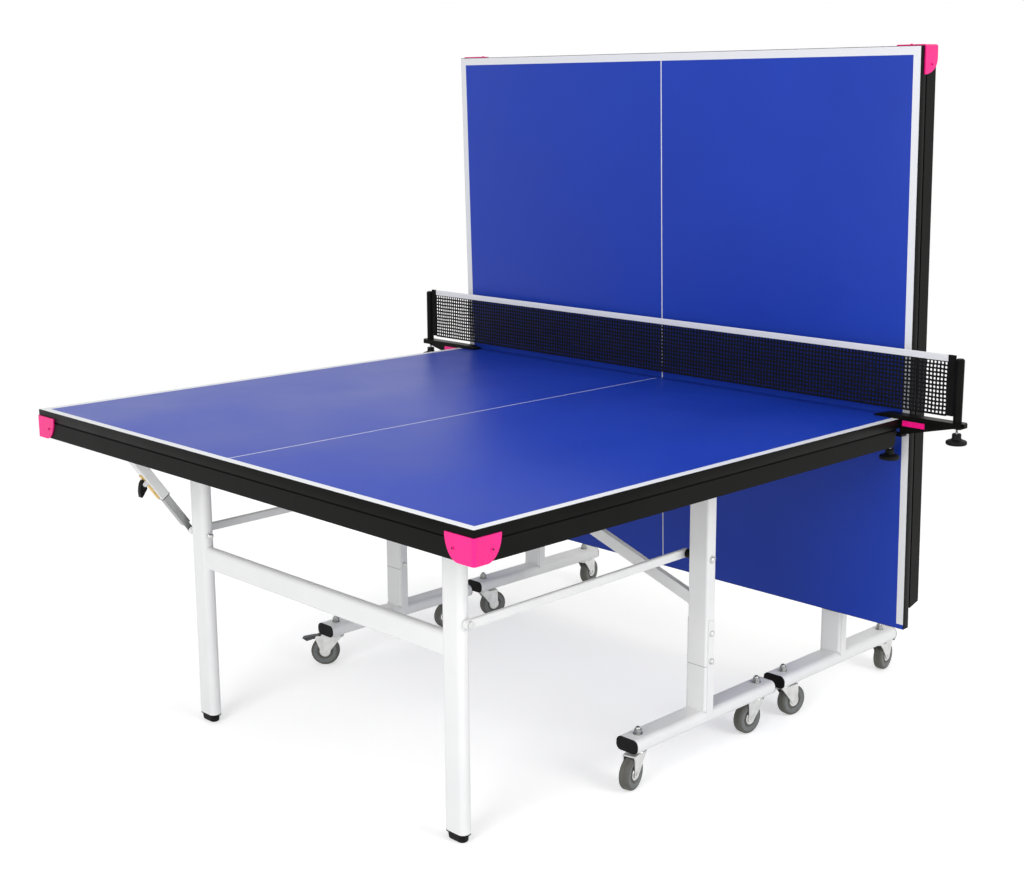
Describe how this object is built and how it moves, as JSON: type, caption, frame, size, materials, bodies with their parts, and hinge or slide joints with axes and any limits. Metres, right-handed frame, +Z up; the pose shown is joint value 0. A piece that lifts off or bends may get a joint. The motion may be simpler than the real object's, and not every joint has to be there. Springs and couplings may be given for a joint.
{
  "type": "ping pong table",
  "caption": "Rollaway ping pong table in playback position: one half open on folding legs, the other folded upright on its castored trolley behind a clamp-on net.",
  "frame": {"origin": "on the floor, under the middle of the whole table's box", "axes": "+X across the table, +Y from the near end line towards the net and the folded half, +Z up"},
  "size_m": [1.858, 1.7344, 1.6076],
  "materials": {
    "playing_surface": "satin blue lacquer on board",
    "apron_black": "satin black paint",
    "cap_pink": "glossy moulded",
    "frame_white": "white powder coat",
    "zinc_steel": "bright zinc plate",
    "black_plastic": "moulded matt",
    "dark_plastic": "moulded matt",
    "wheel_grey": "grey non-marking tread",
    "net_black": "knotted nylon",
    "tape_white": "woven cotton tape",
    "bracket_black": "satin black paint",
    "pad_rubber": "soft matt"
  },
  "bodies": {
    "near_trolley": {"near_trolley_frame": "frame_white", "near_trolley_feet": "frame_white", "near_beam_caps": "black_plastic", "near_trolley_bolts": "zinc_steel"},
    "near_top": {"near_board": "playing_surface", "near_aprons": "apron_black", "near_corner_caps": "cap_pink", "near_pivot_brackets": "zinc_steel", "near_top_bolts": "zinc_steel", "net_mesh": "net_black", "net_tape": "tape_white", "net_sleeves": "net_black", "net_brackets": "bracket_black"},
    "near_legs": {"near_leg_frame": "frame_white", "near_leg_feet": "black_plastic"},
    "near_links": {"near_link_bars": "frame_white", "near_link_bolts": "zinc_steel"},
    "near_strut": {"near_strut_tube": "frame_white"},
    "near_rod": {"near_strut_rod": "zinc_steel"},
    "near_trigger": {"near_strut_trigger": "black_plastic"},
    "near_castor_right_front": {"near_fork_right_front": "zinc_steel"},
    "near_roller_right_front": {"near_wheel_right_front": "wheel_grey"},
    "near_castor_right_rear": {"near_fork_right_rear": "zinc_steel"},
    "near_roller_right_rear": {"near_wheel_right_rear": "wheel_grey"},
    "near_castor_left_front": {"near_fork_left_front": "zinc_steel"},
    "near_roller_left_front": {"near_wheel_left_front": "wheel_grey"},
    "near_castor_left_rear": {"near_fork_left_rear": "zinc_steel"},
    "near_roller_left_rear": {"near_wheel_left_rear": "wheel_grey"},
    "near_pedal": {"near_brake_pedal": "dark_plastic"},
    "far_trolley": {"far_trolley_frame": "frame_white", "far_trolley_feet": "frame_white", "far_beam_caps": "black_plastic", "far_trolley_bolts": "zinc_steel"},
    "far_top": {"far_board": "playing_surface", "far_aprons": "apron_black", "far_corner_caps": "cap_pink", "far_pivot_brackets": "zinc_steel", "far_top_bolts": "zinc_steel"},
    "far_legs": {"far_leg_frame": "frame_white", "far_leg_feet": "black_plastic"},
    "far_links": {"far_link_bars": "frame_white", "far_link_bolts": "zinc_steel"},
    "far_strut": {"far_strut_tube": "frame_white"},
    "far_rod": {"far_strut_rod": "zinc_steel"},
    "far_trigger": {"far_strut_trigger": "black_plastic"},
    "far_castor_right_front": {"far_fork_right_front": "zinc_steel"},
    "far_roller_right_front": {"far_wheel_right_front": "wheel_grey"},
    "far_castor_right_rear": {"far_fork_right_rear": "zinc_steel"},
    "far_roller_right_rear": {"far_wheel_right_rear": "wheel_grey"},
    "far_castor_left_front": {"far_fork_left_front": "zinc_steel"},
    "far_roller_left_front": {"far_wheel_left_front": "wheel_grey"},
    "far_castor_left_rear": {"far_fork_left_rear": "zinc_steel"},
    "far_roller_left_rear": {"far_wheel_left_rear": "wheel_grey"},
    "far_pedal": {"far_brake_pedal": "dark_plastic"},
    "clamp_pad_left": {"clamp_pad_left": "pad_rubber"},
    "clamp_screw_left": {"clamp_screw_left": "black_plastic"},
    "height_screw_left": {"height_screw_left": "black_plastic"},
    "clamp_pad_right": {"clamp_pad_right": "pad_rubber"},
    "clamp_screw_right": {"clamp_screw_right": "black_plastic"},
    "height_screw_right": {"height_screw_right": "black_plastic"}
  },
  "joints": [
    {"name": "near_fold", "type": "hinge", "parent": "near_trolley", "child": "near_top", "pos_m": [0, 0.03094, 0.71], "axis": [-1, 0, 0], "range_deg": [0, 91.5], "deforming": ["net_mesh", "net_tape"]},
    {"name": "near_legs_fold", "type": "hinge", "parent": "near_top", "child": "near_legs", "pos_m": [0, -0.63066, 0.704], "axis": [-1, 0, 0], "range_deg": [-91.5, 0]},
    {"name": "near_links_fold", "type": "hinge", "parent": "near_trolley", "child": "near_links", "pos_m": [0, 0.03094, 0.475], "axis": [-1, 0, 0], "range_deg": [0, 91.5]},
    {"name": "near_strut_fold", "type": "hinge", "parent": "near_top", "child": "near_strut", "pos_m": [-0.5, -0.78816, 0.69], "axis": [-1, 0, 0], "range_deg": [-57.46, 0]},
    {"name": "near_rod_slide", "type": "slide", "parent": "near_strut", "child": "near_rod", "axis": [0, 0.5804, -0.8144], "range_m": [0, 0.12156]},
    {"name": "near_trigger_pull", "type": "hinge", "parent": "near_strut", "child": "near_trigger", "pos_m": [-0.5, -0.74944, 0.60293], "axis": [1, 0, 0], "range_deg": [0, 15], "stiffness_Nm_per_rad": 0.2},
    {"name": "near_swivel_right_front", "type": "hinge", "parent": "near_trolley", "child": "near_castor_right_front", "pos_m": [0.5385, -0.18206, 0.086], "axis": [0, 0, 1], "continuous": true},
    {"name": "near_roll_right_front", "type": "hinge", "parent": "near_castor_right_front", "child": "near_roller_right_front", "pos_m": [0.54525, -0.21129, 0.0375], "axis": [0.9744, 0.225, 0], "continuous": true},
    {"name": "near_swivel_right_rear", "type": "hinge", "parent": "near_trolley", "child": "near_castor_right_rear", "pos_m": [0.5385, 0.24394, 0.086], "axis": [0, 0, 1], "continuous": true},
    {"name": "near_roll_right_rear", "type": "hinge", "parent": "near_castor_right_rear", "child": "near_roller_right_rear", "pos_m": [0.53588, 0.21406, 0.0375], "axis": [0.9962, -0.0872, 0], "continuous": true},
    {"name": "near_swivel_left_front", "type": "hinge", "parent": "near_trolley", "child": "near_castor_left_front", "pos_m": [-0.5385, -0.18206, 0.086], "axis": [0, 0, 1], "continuous": true},
    {"name": "near_roll_left_front", "type": "hinge", "parent": "near_castor_left_front", "child": "near_roller_left_front", "pos_m": [-0.56008, -0.2029, 0.0375], "axis": [0.6947, -0.7193, 0], "continuous": true},
    {"name": "near_swivel_left_rear", "type": "hinge", "parent": "near_trolley", "child": "near_castor_left_rear", "pos_m": [-0.5385, 0.24394, 0.086], "axis": [0, 0, 1], "continuous": true},
    {"name": "near_roll_left_rear", "type": "hinge", "parent": "near_castor_left_rear", "child": "near_roller_left_rear", "pos_m": [-0.54474, 0.2146, 0.0375], "axis": [0.9781, -0.2079, 0], "continuous": true},
    {"name": "near_brake", "type": "hinge", "parent": "near_castor_left_front", "child": "near_pedal", "pos_m": [-0.57447, -0.21679, 0.0756], "axis": [0.6947, -0.7193, 0], "range_deg": [0, 12]},
    {"name": "far_roll_away", "type": "slide", "parent": "near_trolley", "child": "far_trolley", "axis": [0, 1, 0], "range_m": [0, 0.505]},
    {"name": "far_fold", "type": "hinge", "parent": "far_trolley", "child": "far_top", "pos_m": [0, 0.56364, 0.71], "axis": [-1, 0, 0], "range_deg": [0, 91.5]},
    {"name": "far_legs_fold", "type": "hinge", "parent": "far_top", "child": "far_legs", "pos_m": [0, 0.55232, 1.37153], "axis": [-1, 0, 0], "range_deg": [-91.5, 0]},
    {"name": "far_links_fold", "type": "hinge", "parent": "far_trolley", "child": "far_links", "pos_m": [0, 0.56364, 0.475], "axis": [-1, 0, 0], "range_deg": [0, 91.5]},
    {"name": "far_strut_fold", "type": "hinge", "parent": "far_top", "child": "far_strut", "pos_m": [0.5, 0.56219, 1.52934], "axis": [-1, 0, 0], "range_deg": [-57.46, 0]},
    {"name": "far_rod_slide", "type": "slide", "parent": "far_strut", "child": "far_rod", "axis": [0, -0.0251, -0.9997], "range_m": [-0.12156, 0]},
    {"name": "far_trigger_pull", "type": "hinge", "parent": "far_strut", "child": "far_trigger", "pos_m": [0.5, 0.57884, 1.43552], "axis": [-1, 0, 0], "range_deg": [0, 15], "stiffness_Nm_per_rad": 0.2},
    {"name": "far_swivel_right_front", "type": "hinge", "parent": "far_trolley", "child": "far_castor_right_front", "pos_m": [-0.5385, 0.77664, 0.086], "axis": [0, 0, 1], "continuous": true},
    {"name": "far_roll_right_front", "type": "hinge", "parent": "far_castor_right_front", "child": "far_roller_right_front", "pos_m": [-0.54474, 0.80599, 0.0375], "axis": [-0.9781, -0.2079, 0], "continuous": true},
    {"name": "far_swivel_right_rear", "type": "hinge", "parent": "far_trolley", "child": "far_castor_right_rear", "pos_m": [-0.5385, 0.35064, 0.086], "axis": [0, 0, 1], "continuous": true},
    {"name": "far_roll_right_rear", "type": "hinge", "parent": "far_castor_right_rear", "child": "far_roller_right_rear", "pos_m": [-0.53023, 0.37948, 0.0375], "axis": [-0.9613, 0.2756, 0], "continuous": true},
    {"name": "far_swivel_left_front", "type": "hinge", "parent": "far_trolley", "child": "far_castor_left_front", "pos_m": [0.5385, 0.77664, 0.086], "axis": [0, 0, 1], "continuous": true},
    {"name": "far_roll_left_front", "type": "hinge", "parent": "far_castor_left_front", "child": "far_roller_left_front", "pos_m": [0.53433, 0.80635, 0.0375], "axis": [-0.9903, -0.1392, 0], "continuous": true},
    {"name": "far_swivel_left_rear", "type": "hinge", "parent": "far_trolley", "child": "far_castor_left_rear", "pos_m": [0.5385, 0.35064, 0.086], "axis": [0, 0, 1], "continuous": true},
    {"name": "far_roll_left_rear", "type": "hinge", "parent": "far_castor_left_rear", "child": "far_roller_left_rear", "pos_m": [0.54371, 0.38019, 0.0375], "axis": [-0.9848, 0.1736, 0], "continuous": true},
    {"name": "far_brake", "type": "hinge", "parent": "far_castor_left_front", "child": "far_pedal", "pos_m": [0.53154, 0.82615, 0.0756], "axis": [-0.9903, -0.1392, 0], "range_deg": [0, 12]},
    {"name": "clamp_lift_left", "type": "slide", "parent": "near_top", "child": "clamp_pad_left", "axis": [0, 0, 1], "range_m": [-0.006, 0]},
    {"name": "clamp_turn_left", "type": "hinge", "parent": "clamp_pad_left", "child": "clamp_screw_left", "pos_m": [-0.7315, 0.48034, 0.724], "axis": [0, 0, 1], "range_deg": [-720, 0]},
    {"name": "height_turn_left", "type": "hinge", "parent": "near_top", "child": "height_screw_left", "pos_m": [-0.905, 0.48034, 0.76], "axis": [0, 0, 1], "range_deg": [-720, 720]},
    {"name": "clamp_lift_right", "type": "slide", "parent": "near_top", "child": "clamp_pad_right", "axis": [0, 0, 1], "range_m": [-0.006, 0]},
    {"name": "clamp_turn_right", "type": "hinge", "parent": "clamp_pad_right", "child": "clamp_screw_right", "pos_m": [0.7315, 0.48034, 0.724], "axis": [0, 0, 1], "range_deg": [-720, 0]},
    {"name": "height_turn_right", "type": "hinge", "parent": "near_top", "child": "height_screw_right", "pos_m": [0.905, 0.48034, 0.76], "axis": [0, 0, 1], "range_deg": [-720, 720]}
  ],
  "couplings": [
    {"joint": "near_legs_fold", "follows": "near_fold", "ratio": -1},
    {"joint": "near_links_fold", "follows": "near_fold", "ratio": 1},
    {"joint": "near_strut_fold", "follows": "near_fold", "ratio": -0.62801},
    {"joint": "near_rod_slide", "follows": "near_fold", "m_per_rad": 0.076117},
    {"joint": "far_fold", "follows": "far_roll_away", "rad_per_m": 3.1623},
    {"joint": "far_legs_fold", "follows": "far_roll_away", "rad_per_m": -3.1623},
    {"joint": "far_links_fold", "follows": "far_roll_away", "rad_per_m": 3.1623},
    {"joint": "far_strut_fold", "follows": "far_roll_away", "rad_per_m": -1.986},
    {"joint": "far_rod_slide", "follows": "far_roll_away", "ratio": -0.24071},
    {"joint": "clamp_lift_left", "follows": "clamp_turn_left", "m_per_rad": 0.0004775},
    {"joint": "clamp_lift_right", "follows": "clamp_turn_right", "m_per_rad": 0.0004775}
  ]
}
